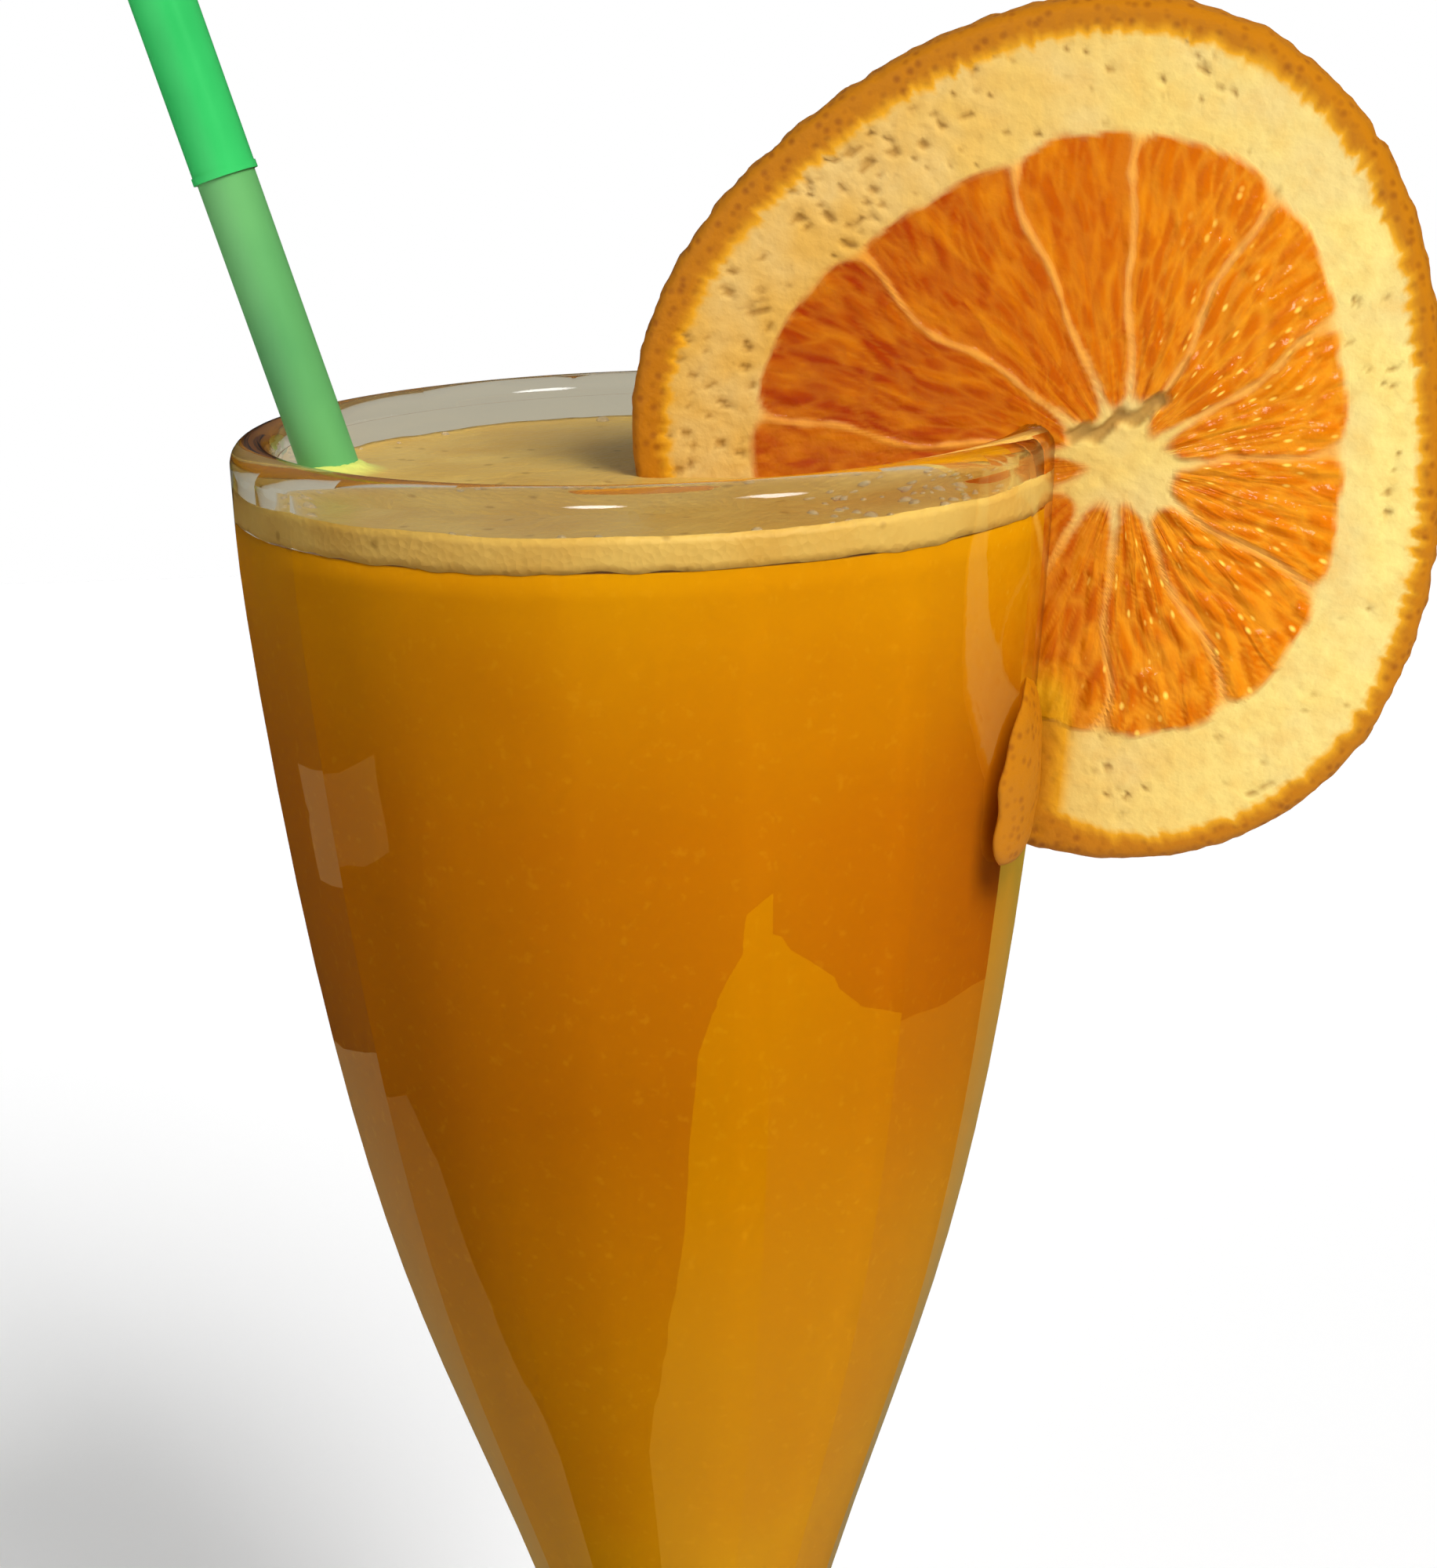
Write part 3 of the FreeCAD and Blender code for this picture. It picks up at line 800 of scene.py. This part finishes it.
lamp_from = Vector((0.61, -0.80, 0.80)).normalized()
lamp_strength, lamp_degrees = 3.65, 28      # broad, so its shadow is soft
lamp_data = bpy.data.lights.new("key_lamp", "SUN")
lamp_data.energy = lamp_strength
lamp_data.angle = math.radians(lamp_degrees)
lamp = bpy.data.objects.new("key_lamp", lamp_data)
lamp.rotation_euler = lamp_from.to_track_quat("Z", "Y").to_euler()
lamp.visible_glossy = False
bpy.context.scene.collection.objects.link(lamp)

# What the glass mirrors: glowing cards in place of the lit table up to its edges, brighter in
# front, and a pale ledge beyond it on the left. Only shine sees these two cards. Their warm
# yellow, strongest in front and to the right, is painted light, not the colour of the table.
table_top = ((75, -285), (212, -176), (205, -125), (254, 60), (320, 260), (320, 600),
             (-110, 600), (-193, 215), (-211, 177), (-220, 7), (-190, 0), (-92, 2), (-20, 10),
             (15, -131), (24, -175), (31, -207), (39, -227), (56, -255))
ledge = ((-428, -20), (-356, -16), (-285, 270), (-362, 345))
card_height = 0.2 * MM              # just over the floor
bright_front_mm, dull_back_mm = -150.0, 20.0
dull_left_mm, yellow_right_mm = 40.0, 200.0
cards = []
for name, corners in (("table_in_shine", table_top), ("ledge_in_shine", ledge)):
    cards.append(mesh_piece(name, [(x * MM, y * MM, card_height) for x, y in corners],
                            [tuple(range(len(corners)))], smooth=False))
glow, tree, output = new_material("glowing_shine_card")
spot = add(tree, "SeparateXYZ", {}, {0: position_mm(tree)})
frontward = add(tree, "MapRange", {
    "From Min": bright_front_mm, "From Max": dull_back_mm, "To Min": 1.0, "To Max": 0.0},
    {"Value": spot.outputs["Y"]})
rightward = add(tree, "MapRange", {
    "From Min": dull_left_mm, "From Max": yellow_right_mm}, {"Value": spot.outputs["X"]})
back_glow_tone = add(tree, "Mix", {
    "data_type": "RGBA", 6: linear("B8A878"), 7: linear("E4BE40")},
    {0: rightward.outputs[0]})
table_glow_tone = add(tree, "Mix", {"data_type": "RGBA", 7: linear("FFDC00")},
                 {0: frontward.outputs[0], 6: back_glow_tone.outputs[2]})
back_glow = add(tree, "MapRange", {"To Min": 0.55, "To Max": 0.8},
                {"Value": rightward.outputs[0]})
table_glow = add(tree, "MapRange", {"To Max": 1.8},
                 {"Value": frontward.outputs[0], "To Min": back_glow.outputs[0]})
shone = add(tree, "Emission", {}, {
    "Color": table_glow_tone.outputs[2], "Strength": table_glow.outputs[0]})
tree.links.new(shone.outputs[0], output.inputs["Surface"])
for card_piece in cards:
    dress(card_piece, glow)
    card_piece.visible_camera = False
    card_piece.visible_diffuse = False
    card_piece.visible_transmission = False
    card_piece.visible_shadow = False

# The room: white where the camera looks past the table, warm grey through clear
# glass, dim for its light but for the fill at the front left, and for shine a dark
# room with a paler ceiling, the lamp, and one small window.
lamp_glint = (tuple(lamp_from), 10.0, 14.0)             # where, half its width, strength
window_glint = ((-0.22, -0.86, 0.46), 8.0, 16.0)
fill_from = Vector((-0.68, -0.72, 0.1)).normalized()
dim_light, fill_light = 0.23, 1.9
dark_wall, pale_ceiling = 0.015, 0.35
world = bpy.data.worlds.new("studio_room")
bpy.context.scene.world = world
world.use_nodes = True
tree = world.node_tree
tree.nodes.clear()
look = add(tree, "TexCoord").outputs["Generated"]
aim = add(tree, "SeparateXYZ", {}, {0: look})
above = add(tree, "MapRange", {
    "From Min": 0.05, "From Max": 0.8, "To Min": dark_wall, "To Max": pale_ceiling},
    {"Value": aim.outputs["Z"]})
glints = []
for aim_at, half_degrees, strength in (lamp_glint, window_glint):
    facing_it = add(tree, "VectorMath", {"operation": "DOT_PRODUCT", 1: aim_at}, {0: look})
    glints.append(add(tree, "MapRange", {
        "From Min": math.cos(math.radians(half_degrees)),
        "From Max": math.cos(math.radians(half_degrees * 0.6)),
        "To Min": 0.0, "To Max": strength}, {"Value": facing_it.outputs["Value"]}))
both_glints = add(tree, "Math", {"operation": "ADD"},
                  {0: glints[0].outputs[0], 1: glints[1].outputs[0]})
sheen = add(tree, "Math", {"operation": "ADD"},
            {0: above.outputs[0], 1: both_glints.outputs[0]})
fill_side = add(tree, "VectorMath", {"operation": "DOT_PRODUCT", 1: tuple(fill_from)},
                {0: look})
fill = add(tree, "MapRange", {
    "From Min": 0.7, "From Max": 1.0, "To Min": dim_light, "To Max": fill_light},
    {"Value": fill_side.outputs["Value"]})
for_light = add(tree, "Background", {"Color": (1, 1, 1, 1)}, {"Strength": fill.outputs[0]})
for_glass = add(tree, "Background", {"Color": linear(room_in_glass), "Strength": 1.0})
rays = add(tree, "LightPath")
light_or_room = add(tree, "MixShader", {}, {
    0: through_clear(tree, rays), 1: for_light.outputs[0], 2: for_glass.outputs[0]})
for_shine = add(tree, "Background", {"Color": (1, 1, 1, 1)}, {"Strength": sheen.outputs[0]})
for_camera = add(tree, "Background", {"Color": (1, 1, 1, 1), "Strength": 1.0})
mirrored = add(tree, "Math", {"operation": "SUBTRACT", "use_clamp": True},
               {0: rays.outputs["Is Glossy Ray"], 1: rays.outputs["Transmission Depth"]})
lit = add(tree, "MixShader", {}, {
    0: mirrored.outputs[0], 1: light_or_room.outputs[0], 2: for_shine.outputs[0]})
seen = add(tree, "MixShader", {}, {
    0: rays.outputs["Is Camera Ray"], 1: lit.outputs[0], 2: for_camera.outputs[0]})
add(tree, "OutputWorld", {}, {"Surface": seen.outputs[0]})

bpy.context.scene.view_settings.view_transform = "Standard"

# The camera looks down a little, and leans a little to one side.
camera_at = (0, -0.25736, 0.22695)
pitch, yaw, roll = math.radians(15.73), math.radians(1.30), math.radians(-1.72)
camera_data = bpy.data.cameras.new("camera")
camera_data.sensor_width = 36.0
camera_data.lens = 63.41
camera = bpy.data.objects.new("camera", camera_data)
forward = Vector((math.sin(yaw) * math.cos(pitch), math.cos(yaw) * math.cos(pitch),
                  -math.sin(pitch)))
right = Vector((math.cos(yaw), -math.sin(yaw), 0))
up = right.cross(forward)
right, up = (math.cos(roll) * right + math.sin(roll) * up,
             math.cos(roll) * up - math.sin(roll) * right)
turned = Matrix((right, up, -forward)).transposed().to_4x4()
camera.matrix_world = Matrix.Translation(camera_at) @ turned
bpy.context.scene.collection.objects.link(camera)
bpy.context.scene.camera = camera
